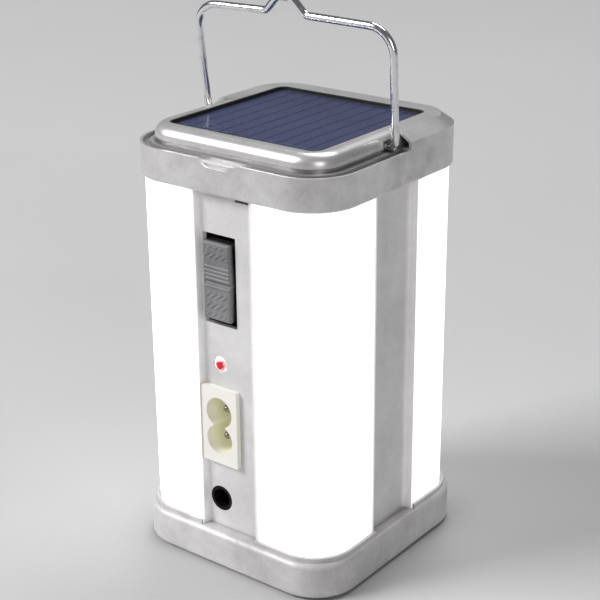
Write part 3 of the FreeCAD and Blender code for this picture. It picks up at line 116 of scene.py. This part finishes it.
# Studio: the floor's half width and drop, the lights as place, target, size and power, and the
# camera as a place about a point on the lantern's axis and a direction of view.
FLOOR_HALF = 3.0
FLOOR_DROP = 0.0001
LIGHTS = {
    "key": ((-1.5, -1.6, 1.7), (0, 0, 0.07), (1.1, 1.1), 70),
    "fill": ((2.0, -1.2, 0.9), (0, 0, 0.06), (1.0, 1.4), 14),
    "top": ((-0.2, 1.1, 2.2), (0, 0, 0.1), (1.5, 1.1), 30),
}
SKY_COLOUR = (0.80, 0.81, 0.84, 1)
SKY_STRENGTH = 0.16
CAMERA_MIDDLE = Vector((0, 0, 0.0576))
CAMERA_DISTANCE = 0.44405
CAMERA_AZIMUTH = math.radians(37.80)
CAMERA_ELEVATION = math.radians(23.81)
CAMERA_PITCH = math.radians(21.746)
CAMERA_TURN = math.radians(-0.016)
CAMERA_ROLL = math.radians(-0.5)
CAMERA_LENS = 88.08


# ---------------------------------------------------------------- materials


class Shader:
    """One material's node tree, with short calls for the nodes that this scene uses."""

    def __init__(self, name, **sockets):
        self.material = bpy.data.materials.new(name)
        self.material.use_nodes = True
        self.tree = self.material.node_tree
        self.surface = self.tree.nodes["Principled BSDF"]
        for socket, value in sockets.items():
            self.set(socket.replace("_", " "), value)
        self.place = self.add("ShaderNodeTexCoord").outputs["Object"]

    def add(self, kind, **settings):
        """A new node with these settings."""
        node = self.tree.nodes.new(kind)
        for key, value in settings.items():
            setattr(node, key, value)
        return node

    def feed(self, socket, value):
        """Links a node's output to a socket, or sets a plain number or colour on it."""
        if isinstance(value, bpy.types.NodeSocket):
            self.tree.links.new(value, socket)
        elif hasattr(socket.default_value, "__len__") and len(value) < len(socket.default_value):
            socket.default_value = (*value, 1.0)
        else:
            socket.default_value = value

    def set(self, name, value):
        """Feeds one socket of the surface shader."""
        self.feed(self.surface.inputs[name], value)

    def math(self, operation, a, b=0.0, clamp=False):
        node = self.add("ShaderNodeMath", operation=operation, use_clamp=clamp)
        self.feed(node.inputs[0], a)
        self.feed(node.inputs[1], b)
        return node.outputs[0]

    def parts(self):
        """The place on the object as x, y and z."""
        node = self.add("ShaderNodeSeparateXYZ")
        self.feed(node.inputs[0], self.place)
        return node.outputs

    def join(self, x, y, z):
        node = self.add("ShaderNodeCombineXYZ")
        for socket, value in zip(node.inputs, (x, y, z)):
            self.feed(socket, value)
        return node.outputs[0]

    def noise(self, scale, detail=4.0, roughness=0.55):
        node = self.add("ShaderNodeTexNoise")
        self.feed(node.inputs["Vector"], self.place)
        self.feed(node.inputs["Scale"], scale)
        self.feed(node.inputs["Detail"], detail)
        self.feed(node.inputs["Roughness"], roughness)
        return node.outputs["Fac"]

    def spots(self, scale):
        node = self.add("ShaderNodeTexVoronoi")
        self.feed(node.inputs["Vector"], self.place)
        self.feed(node.inputs["Scale"], scale)
        return node.outputs["Distance"]

    def spread(self, value, low, high, start=0.0, end=1.0):
        """value moved from start..end to low..high, held at both ends."""
        node = self.add("ShaderNodeMapRange")
        for socket, number in zip(node.inputs, (value, start, end, low, high)):
            self.feed(socket, number)
        return node.outputs[0]

    def blend(self, amount, low, high):
        """A colour between two others."""
        node = self.add("ShaderNodeMix", data_type="RGBA")
        self.feed(node.inputs[0], amount)
        self.feed(node.inputs[6], low)
        self.feed(node.inputs[7], high)
        return node.outputs[2]

    def bump(self, height, depth, strength=1.0):
        """Relief of this depth in metres, on top of any relief that is already there."""
        node = self.add("ShaderNodeBump")
        self.feed(node.inputs["Strength"], strength)
        self.feed(node.inputs["Distance"], depth)
        self.feed(node.inputs["Height"], height)
        before = self.surface.inputs["Normal"]
        if before.is_linked:
            self.tree.links.new(before.links[0].from_socket, node.inputs["Normal"])
        self.set("Normal", node.outputs[0])

    def edges(self, reach):
        """1 near an outer edge and 0 on flat surface, within this reach in metres."""
        bevel = self.add("ShaderNodeBevel", samples=6)
        self.feed(bevel.inputs["Radius"], reach)
        plain = self.add("ShaderNodeNewGeometry").outputs["Normal"]
        dot = self.add("ShaderNodeVectorMath", operation="DOT_PRODUCT")
        self.feed(dot.inputs[0], bevel.outputs[0])
        self.feed(dot.inputs[1], plain)
        return self.spread(dot.outputs["Value"], 1.0, 0.0, 0.75, 0.985)

    def crevices(self, reach):
        """1 deep in a corner or gap and 0 in the open, within this reach in metres."""
        shelter = self.add("ShaderNodeAmbientOcclusion", samples=6)
        self.feed(shelter.inputs["Distance"], reach)
        return self.spread(shelter.outputs["AO"], 0.85, 0.0, 0.18, 0.72)


def silver_paint(name, light, dark, metallic=0.62, crevice_shade=0.30, gloss=(0.28, 0.44), coat=0.15):
    """Satin metallic paint: cloudy tone, smudges, specks, faint orange peel, painted shade in corners and
    gaps.
    """
    m = Shader(name, Metallic=metallic, Specular_IOR_Level=0.5, Coat_Weight=coat, Coat_Roughness=0.18)
    clouds = m.noise(34, 5, 0.62)
    smudge = m.noise(150, 4, 0.65)
    grain = m.noise(2400, 2, 0.6)
    tone = m.math("ADD", m.spread(clouds, 0, 0.62, 0.40, 0.62), m.spread(smudge, 0, 0.30, 0.4, 0.7))
    tone = m.math("ADD", tone, m.spread(grain, 0, 0.2, 0.3, 0.7))
    specks = m.spread(m.noise(780, 3, 0.7), 0, 0.28, 0.60, 0.72)
    paint = m.blend(specks, m.blend(tone, light, dark), [0.6 * part for part in dark])
    rubbed = m.blend(m.math("MULTIPLY", m.edges(0.0005), 0.35), paint, (0.90, 0.89, 0.88))
    # Painted shade: the colour darkens deep in corners and gaps, where shade falls.
    m.set("Base Color", m.blend(m.crevices(0.0035), rubbed, [crevice_shade * part for part in dark]))
    m.set("Roughness", m.spread(m.math("ADD", clouds, smudge), gloss[0], gloss[1], 0.7, 1.3))
    m.bump(m.noise(620, 2, 0.5), 0.00004, 0.30)
    m.bump(m.spots(4200), 0.00002, 0.18)
    return m


def panel_paint(side):
    """The paint of a side panel, with a painted glow on its lips that stands in for the diffusers' light
    falling on them.
    """
    # Its last number sets how dark the painted shade in corners and gaps is.
    m = silver_paint(side + "_panel_paint", (0.78, 0.765, 0.77), (0.63, 0.615, 0.62), 0.18, 0.6)
    width_axis = 0 if side in ("front", "rear") else 1
    off_middle = m.math("ABSOLUTE", m.parts()[width_axis])
    # Painted light: the lips glow as if lit by the diffusers beside them, though the panel is no lamp.
    m.set("Emission Color", (1.0, 0.985, 0.99))
    m.set("Emission Strength", m.spread(off_middle, 0, 0.20, *LIP_PAINTED_LIGHT))
    return m


def milky(name, strength):
    """Light-scattering plastic lit from behind: bright all over, softer at its ends and long edges."""
    m = Shader(name, Base_Color=(0.93, 0.93, 0.92), Roughness=0.32, Emission_Color=(1.0, 0.995, 0.985))
    x, y, z = m.parts()
    haze = m.noise(45, 3, 0.5)
    glow = m.spread(haze, strength * 0.95, strength * 1.05, 0.3, 0.7)
    foot = m.spread(z, 0.72, 1.0, *DIFFUSER_FOOT)
    head = m.spread(z, 1.0, 0.72, *DIFFUSER_HEAD)
    nearest = m.math("MINIMUM", m.math("ABSOLUTE", x), m.math("ABSOLUTE", y))
    edge = m.spread(nearest, 0.62, 1.0, *DIFFUSER_EDGE)
    ends = m.math("MULTIPLY", foot, head)
    m.set("Emission Strength", m.math("MULTIPLY", glow, m.math("MULTIPLY", ends, edge)))
    m.bump(m.noise(1500, 2), 0.00002, 0.2)
    return m


def chrome_wire():
    """Bright plated wire with faint drawing marks and dull patches."""
    m = Shader("plated_wire", Metallic=1.0)
    marks = m.noise(900, 3, 0.6)
    wear = m.noise(260, 4, 0.7)
    m.set("Base Color", m.blend(m.spread(wear, 0, 1, 0.5, 0.75), (0.80, 0.80, 0.82), (0.56, 0.56, 0.58)))
    m.set("Roughness", m.spread(m.math("ADD", marks, wear), 0.10, 0.30, 0.75, 1.3))
    m.bump(marks, 0.00002, 0.3)
    return m


def rubber(name, shade):
    """Matt rubber with a fine grain and a little dust."""
    m = Shader(name, Specular_IOR_Level=0.35)
    grain = m.noise(1500, 4, 0.65)
    dust = m.noise(60, 4, 0.6)
    m.set("Base Color", m.blend(m.spread(dust, 0, 1, 0.45, 0.8), [shade] * 3, [shade * 1.9] * 3))
    m.set("Roughness", m.spread(grain, 0.62, 0.82, 0.3, 0.7))
    m.bump(grain, 0.00008, 0.5)
    return m


def moulded(name, colour, worn, rough=(0.35, 0.5), grain_depth=0.00004, **sockets):
    """Moulded plastic: tone shifts, fine spark grain, lighter rubbed edges."""
    m = Shader(name, **sockets)
    tone = m.noise(55, 4, 0.55)
    grain = m.noise(1700, 3, 0.6)
    shade = m.spread(tone, 0, 0.6, 0.4, 0.7)
    rubbed = m.math("MULTIPLY", m.edges(0.0004), 0.55)
    m.set("Base Color", m.blend(m.math("MAXIMUM", shade, rubbed), colour, worn))
    m.set("Roughness", m.spread(m.math("ADD", tone, grain), rough[0], rough[1], 0.7, 1.3))
    m.bump(grain, grain_depth, 0.5)
    return m


def metal(name, colour, dull, rough=(0.22, 0.4)):
    """Plain metal with dull patches."""
    m = Shader(name, Metallic=1.0)
    tone = m.noise(420, 4, 0.6)
    m.set("Base Color", m.blend(m.spread(tone, 0, 1, 0.35, 0.75), colour, dull))
    m.set("Roughness", m.spread(m.noise(1300, 3), rough[0], rough[1], 0.3, 0.7))
    m.bump(tone, 0.00002, 0.3)
    return m


def solar_silicon():
    """Indigo cells: fine cross fingers, dark sawn edges and slow colour drift."""
    m = Shader("solar_cell", Coat_Weight=0.35, Coat_Roughness=0.06, Specular_IOR_Level=0.5)
    x, y, z = m.parts()
    drift = m.noise(38, 3, 0.5)
    cloud = m.noise(900, 3, 0.6)
    finger = m.math("SINE", m.math("MULTIPLY", y, 2 * math.pi / FINGER_PITCH))
    phase = m.math("FRACT", m.math("ADD", m.math("DIVIDE", x, CELL_PITCH), 0.5))
    off_middle = m.math("ABSOLUTE", m.math("SUBTRACT", phase, 0.5))
    edge = m.spread(off_middle, 1, 0, 0.03, 0.11)
    tone = m.math("ADD", m.spread(drift, 0, 0.7, 0.35, 0.68), m.spread(cloud, 0, 0.3, 0.3, 0.7))
    body = m.blend(tone, (0.019, 0.026, 0.088), (0.035, 0.045, 0.138))
    lined = m.blend(m.spread(finger, 0, 0.30, 0.86, 1.0), body, (0.08, 0.10, 0.22))
    m.set("Base Color", m.blend(edge, lined, (0.008, 0.010, 0.036)))
    m.set("Roughness", m.spread(cloud, 0.24, 0.38, 0.3, 0.7))
    m.bump(finger, 0.00001, 0.25)
    return m


def clear_resin():
    """The poured resin over the cells: nearly invisible, with a few fine scratches."""
    m = Shader("clear_resin", Base_Color=(0.45, 0.50, 0.75), Alpha=0.05, Coat_Weight=0.5)
    ripple = m.noise(160, 3, 0.5)
    m.set("Roughness", m.spread(ripple, 0.05, 0.16, 0.35, 0.65))
    m.bump(ripple, 0.00004, 0.25)
    return m


def inlet_plastic():
    """Ivory plastic with an olive tint and a faint glow painted down in its socket, standing in for the
    light there.
    """
    m = Shader("cream_plastic", Specular_IOR_Level=0.45)
    depth = m.parts()[1]
    tone = m.noise(55, 4, 0.55)
    grain = m.noise(1700, 3, 0.6)
    ivory = m.blend(m.spread(tone, 0, 1, 0.4, 0.7), (0.86, 0.84, 0.78), (0.92, 0.90, 0.84))
    painted_olive_light = m.blend(m.spread(tone, 0, 1, 0.4, 0.7), (0.80, 0.78, 0.58), (0.86, 0.84, 0.66))
    # Painted light: deeper in the socket the colour turns olive and the plastic glows, though it is no
    # lamp.
    m.set("Base Color", m.blend(m.spread(depth, 0, 1, SOCKET_MOUTH, SOCKET_DEEP), ivory, painted_olive_light))
    m.set("Emission Color", painted_olive_light)
    m.set("Emission Strength", m.spread(depth, 0, 0.13, SOCKET_MOUTH, SOCKET_DEEP))
    m.set("Roughness", m.spread(grain, 0.28, 0.42, 0.3, 0.7))
    m.bump(grain, 0.00002, 0.4)
    return m


def lamp_lens():
    """A small clear lens: whitish glow all over and a red core a little right of its axis."""
    m = Shader("red_lens", Roughness=0.15, Emission_Strength=0.85)
    low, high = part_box("indicator_led")
    middle = (low + high) / 2
    x, y, z = m.parts()
    across = m.math("SUBTRACT", x, middle.x + LAMP_CORE_SHIFT)
    off = m.join(across, 0.0, m.math("SUBTRACT", z, middle.z))
    length = m.add("ShaderNodeVectorMath", operation="LENGTH")
    m.feed(length.inputs[0], off)
    ragged = m.spread(m.noise(1400, 3, 0.7), -LAMP_RAGGED, LAMP_RAGGED, 0.3, 0.7)
    core = m.spread(m.math("ADD", length.outputs["Value"], ragged), 1, 0, *LAMP_CORE)
    m.set("Base Color", m.blend(core, (0.92, 0.88, 0.88), (0.40, 0.010, 0.025)))
    m.set("Emission Color", m.blend(core, (0.95, 0.90, 0.90), (0.30, 0.005, 0.015)))
    m.bump(m.noise(700, 2), 0.00003, 0.3)
    return m


def board(name, colour, track):
    """Solder mask over copper tracks: a faint grid of raised lines."""
    m = Shader(name, Coat_Weight=0.3, Coat_Roughness=0.2)
    x, y, z = m.parts()
    upright = m.math("SINE", m.math("MULTIPLY", x, TRACKS_ACROSS))
    level = m.math("SINE", m.math("MULTIPLY", z, TRACKS_UP))
    lines = m.math("MAXIMUM", upright, level)
    tone = m.noise(140, 4)
    m.set("Base Color", m.blend(m.math("MULTIPLY", m.spread(lines, 0, 1, 0.9, 1.0), tone), colour, track))
    m.set("Roughness", m.spread(tone, 0.3, 0.5, 0.3, 0.7))
    m.bump(lines, 0.00002, 0.4)
    return m


# One finish for each material slot of the record, then those of single nodes.
FINISHES = {
    "silver_plastic": silver_paint("silver_paint", (0.78, 0.765, 0.765), (0.50, 0.485, 0.49)),
    "milky_plastic": milky("milky_plastic", 1.25),
    "white_plastic": moulded("white_plastic", (0.86, 0.86, 0.84), (0.93, 0.93, 0.92)),
    "steel_wire": chrome_wire(),
    "black_rubber": rubber("black_rubber", 0.012),
    "solar_backing": moulded("solar_backing", (0.006, 0.010, 0.032), (0.012, 0.018, 0.05), (0.2, 0.34)),
    "solar_cell": solar_silicon(),
    "clear_resin": clear_resin(),
    "switch_grey": moulded("switch_grey", (0.155, 0.155, 0.16), (0.30, 0.30, 0.31), (0.42, 0.62), 0.0001),
    "black_plastic": moulded("black_plastic", (0.010, 0.010, 0.010), (0.035, 0.035, 0.035)),
    "cream_plastic": inlet_plastic(),
    "nickel": metal("nickel", (0.40, 0.38, 0.31), (0.22, 0.21, 0.17)),
    "brass": metal("brass", (0.72, 0.55, 0.25), (0.48, 0.36, 0.16)),
    "red_lens": lamp_lens(),
    "cell_wrap": moulded("cell_wrap", (0.02, 0.10, 0.30), (0.04, 0.16, 0.40), (0.2, 0.32)),
    "circuit_board": board("circuit_board", (0.012, 0.10, 0.035), (0.04, 0.22, 0.09)),
    "white_board": board("white_board", (0.80, 0.80, 0.78), (0.90, 0.90, 0.88)),
    "lamp_chip": moulded("lamp_chip", (0.85, 0.75, 0.25), (0.95, 0.90, 0.55), (0.2, 0.3)),
    "component_black": moulded("component_black", (0.015, 0.015, 0.016), (0.05, 0.05, 0.05)),
    "capacitor_sleeve": moulded("capacitor_sleeve", (0.015, 0.018, 0.07), (0.03, 0.035, 0.12), (0.2, 0.35)),
    "lead_insulation": moulded("lead_insulation", (0.35, 0.01, 0.01), (0.5, 0.03, 0.03)),
    "zinc_screw": metal("zinc_screw", (0.60, 0.60, 0.58), (0.42, 0.42, 0.40)),
}

OWN_FINISHES = {side + "_panel": panel_paint(side) for side in SIDES}
OWN_FINISHES["base_housing"] = silver_paint(
    "base_paint", (0.76, 0.745, 0.745), (0.50, 0.485, 0.49), 0.25, gloss=(0.46, 0.60), coat=0.0)
OWN_FINISHES["dc_jack_body"] = moulded(
    "jet_plastic", (0.003, 0.002, 0.002), (0.012, 0.008, 0.009), (0.55, 0.7), Specular_IOR_Level=0.2)

for row in frame["record"]["subparts"]:
    node = frame["nodes"][row["node"]]
    finish = OWN_FINISHES.get(row["node"], FINISHES[row["material_slot"]])
    node.data.materials.clear()
    node.data.materials.append(finish.material)


# ---------------------------------------------------------------- added pieces


def add_piece(name, mesh, material, body, bevel=0.0, smooth=True):
    """A finished mesh as a piece that rides on a body."""
    data = bpy.data.meshes.new(name)
    mesh.to_mesh(data)
    mesh.free()
    data.materials.append(material)
    for face in data.polygons:
        face.use_smooth = smooth
    piece = bpy.data.objects.new(name, data)
    bpy.context.scene.collection.objects.link(piece)
    if bevel:
        soften = piece.modifiers.new("soften", "BEVEL")
        soften.width = bevel
        soften.segments = 3
        soften.limit_method = "ANGLE"
        weighted = piece.modifiers.new("weighted", "WEIGHTED_NORMAL")
        weighted.keep_sharp = True
    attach(piece, body)
    return piece


def prism(section, start, end):
    """A closed bar along X whose section is a loop of (y, z) points, anticlockwise seen from +X."""
    mesh = bmesh.new()
    near = [mesh.verts.new((start, y, z)) for y, z in section]
    far = [mesh.verts.new((end, y, z)) for y, z in section]
    mesh.faces.new(list(reversed(near)))
    mesh.faces.new(far)
    count = len(section)
    for i in range(count):
        k = (i + 1) % count
        mesh.faces.new((near[i], near[k], far[k], far[i]))
    bmesh.ops.recalc_face_normals(mesh, faces=mesh.faces)
    return mesh


def rocker_section(low, high, back_step):
    """The rocker's own section, read from its box: shallow V in front, wings, and hub on its axis."""
    middle = (low.z + high.z) / 2
    end = low.y
    dip = end + ROCKER_DIP
    wing = dip + ROCKER_WING
    axis = high.y - ROCKER_HUB
    points = [(end + back_step, high.z), (wing, high.z), (wing, middle + ROCKER_HUB)]
    for i in range(HUB_STEPS + 1):
        angle = math.pi / 2 - math.pi * i / HUB_STEPS
        points.append((axis + ROCKER_HUB * math.cos(angle), middle + ROCKER_HUB * math.sin(angle)))
    points += [(wing, middle - ROCKER_HUB), (wing, low.z)]
    points += [(end + back_step, low.z), (dip + back_step, middle)]
    return points


def rocker_relief(across, up, half_wide, half_high):
    """How far the pad stands in front of its own flat back at this place, in metres."""
    dip = ROCKER_DIP * (1 - abs(up) / half_high)
    relief = PAD_DEPTH - dip
    for place in RIB_PLACES:
        reach = abs(up - place) / RIB_HALF
        if reach < 1:
            relief += RIB_RISE * math.cos(reach * math.pi / 2)
    groove = abs(up - GROOVE_PLACE) / GROOVE_HALF
    if groove < 1:
        relief -= GROOVE_DEPTH * math.cos(groove * math.pi / 2)
    for field_low, field_high in WAVE_FIELDS:
        inside = min(up - field_low, field_high - up, half_wide - PAD_MARGIN - abs(across)) / PAD_FADE
        if inside > 0:
            sway = WAVE_SWAY * math.sin(2 * math.pi * up / WAVE_LENGTH)
            ridge = math.sin(2 * math.pi * (across / WAVE_PITCH + sway))
            relief += WAVE_RISE * ridge * min(1, inside)
    edge = min(half_wide - abs(across), half_high - abs(up))
    if edge < PAD_ROUND:
        fall = 1 - math.sqrt(max(0.0, 1 - (1 - edge / PAD_ROUND) ** 2))
        relief -= PAD_ROUND * fall
    return relief


def pad_mesh(low, high):
    """The grip pad: a grid in relief in front, closed by a V-shaped back sunk into the rocker."""
    centre = (low + high) / 2
    half_wide = (high.x - low.x) / 2
    half_high = (high.z - low.z) / 2
    back = low.y + PAD_DEPTH
    mesh = bmesh.new()
    grid = []
    for j in range(PAD_ROWS + 1):
        up = half_high * (2 * j / PAD_ROWS - 1)
        line = []
        for i in range(PAD_COLUMNS + 1):
            across = half_wide * (2 * i / PAD_COLUMNS - 1)
            out = rocker_relief(across, up, half_wide, half_high)
            line.append(mesh.verts.new((centre.x + across, back - out, centre.z + up)))
        grid.append(line)
    for j in range(PAD_ROWS):
        for i in range(PAD_COLUMNS):
            mesh.faces.new((grid[j][i], grid[j][i + 1], grid[j + 1][i + 1], grid[j + 1][i]))
    right = [line[-1] for line in grid[1:]]
    left = [line[0] for line in grid[-2:0:-1]]
    rim = grid[0] + right + grid[-1][-2::-1] + left
    under = []
    for vertex in rim:
        flat = back - ROCKER_DIP * (abs(vertex.co.z - centre.z) / half_high - 1)
        under.append(mesh.verts.new((vertex.co.x, flat + PAD_SINK, vertex.co.z)))
    middle_back = mesh.verts.new((centre.x, back + ROCKER_DIP + PAD_SINK, centre.z))
    count = len(rim)
    for i in range(count):
        k = (i + 1) % count
        mesh.faces.new((rim[i], under[i], under[k], rim[k]))
        mesh.faces.new((under[i], middle_back, under[k]))
    bmesh.ops.recalc_face_normals(mesh, faces=mesh.faces)
    return mesh


def make_rocker():
    """A black tilting body with a grey grip pad on its face: ribs, a groove and wave-textured ends."""
    low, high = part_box("switch_rocker")
    section = prism(rocker_section(low, high, PAD_DEPTH), low.x, high.x)
    black = FINISHES["black_plastic"].material
    body = add_piece("rocker_body", section, black, "rocker", 0.00015, False)
    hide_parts("switch_rocker")
    grey = FINISHES["switch_grey"].material
    add_piece("rocker_pad", pad_mesh(low, high), grey, "rocker")


def make_solder_ribbon():
    """The flat tinned ribbon along the front ends of the cells, with a joint at every cell."""
    low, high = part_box("solar_cells")
    place = low.y + RIBBON_INSET
    top = high.z + RIBBON_RISE
    near = place - RIBBON_HALF
    far = place + RIBBON_HALF
    mesh = prism([(near, high.z), (far, high.z), (far, top), (near, top)], low.x, high.x)
    count = round((high.x - low.x) / CELL_PITCH)
    spare = (CELL_PITCH * count - (high.x - low.x)) / 2
    for i in range(count):
        middle = low.x + CELL_PITCH * (i + 0.5) - spare
        spot = Matrix.Translation((middle, place, high.z)) @ Matrix.Diagonal(JOINT_SHAPE)
        bmesh.ops.create_icosphere(mesh, subdivisions=2, radius=JOINT_RADIUS, matrix=spot)
    tinned = metal("tinned_ribbon", (0.20, 0.26, 0.38), (0.10, 0.14, 0.24))
    add_piece("solder_ribbon", mesh, tinned.material, "body", 0.0, False)


# ---------------------------------------------------------------- floor, light, camera


def make_floor():
    """A plain pale floor just under the feet."""
    m = Shader("pale_floor", Roughness=0.75, Specular_IOR_Level=0.2)
    m.set("Base Color", m.blend(m.noise(6, 3), (0.50, 0.50, 0.50), (0.54, 0.54, 0.54)))
    mesh = bmesh.new()
    corners = []
    for x, y in ((-1, -1), (1, -1), (1, 1), (-1, 1)):
        corners.append(mesh.verts.new((FLOOR_HALF * x, FLOOR_HALF * y, -FLOOR_DROP)))
    mesh.faces.new(corners)
    data = bpy.data.meshes.new("floor")
    mesh.to_mesh(data)
    mesh.free()
    data.materials.append(m.material)
    floor = bpy.data.objects.new("floor", data)
    bpy.context.scene.collection.objects.link(floor)


def make_light(name, place, target, size, power):
    """A soft rectangular light at a place, turned towards a target."""
    data = bpy.data.lights.new(name, "AREA")
    data.shape = "RECTANGLE"
    data.size = size[0]
    data.size_y = size[1]
    data.energy = power
    light = bpy.data.objects.new(name, data)
    light.location = place
    light.rotation_euler = (Vector(target) - Vector(place)).to_track_quat("-Z", "Y").to_euler()
    bpy.context.scene.collection.objects.link(light)


def make_world():
    """Weak even light from all round."""
    world = bpy.data.worlds.new("studio")
    world.use_nodes = True
    background = world.node_tree.nodes["Background"]
    background.inputs["Color"].default_value = SKY_COLOUR
    background.inputs["Strength"].default_value = SKY_STRENGTH
    bpy.context.scene.world = world
    bpy.context.scene.view_settings.view_transform = "Standard"


def make_camera():
    """Looks down on the front right corner."""
    out = Vector((math.sin(CAMERA_AZIMUTH), -math.cos(CAMERA_AZIMUTH), 0))
    rise = Vector((0, 0, math.sin(CAMERA_ELEVATION)))
    place = CAMERA_MIDDLE + CAMERA_DISTANCE * (out * math.cos(CAMERA_ELEVATION) + rise)
    heading = CAMERA_AZIMUTH + CAMERA_TURN
    flat = Vector((-math.sin(heading), math.cos(heading), 0))
    forward = flat * math.cos(CAMERA_PITCH) - Vector((0, 0, math.sin(CAMERA_PITCH)))
    right = forward.cross(Vector((0, 0, 1))).normalized()
    up = right.cross(forward)
    right_rolled = right * math.cos(CAMERA_ROLL) + up * math.sin(CAMERA_ROLL)
    up_rolled = up * math.cos(CAMERA_ROLL) - right * math.sin(CAMERA_ROLL)
    axes = Matrix((right_rolled, up_rolled, -forward)).transposed()
    data = bpy.data.cameras.new("camera")
    data.lens = CAMERA_LENS
    data.sensor_width = 36.0
    data.clip_start = 0.01
    camera = bpy.data.objects.new("camera", data)
    camera.matrix_world = Matrix.Translation(place) @ axes.to_4x4()
    bpy.context.scene.collection.objects.link(camera)
    bpy.context.scene.camera = camera


make_rocker()
make_solder_ribbon()
make_floor()
make_world()
for name, (place, target, size, power) in LIGHTS.items():
    make_light(name, place, target, size, power)
make_camera()
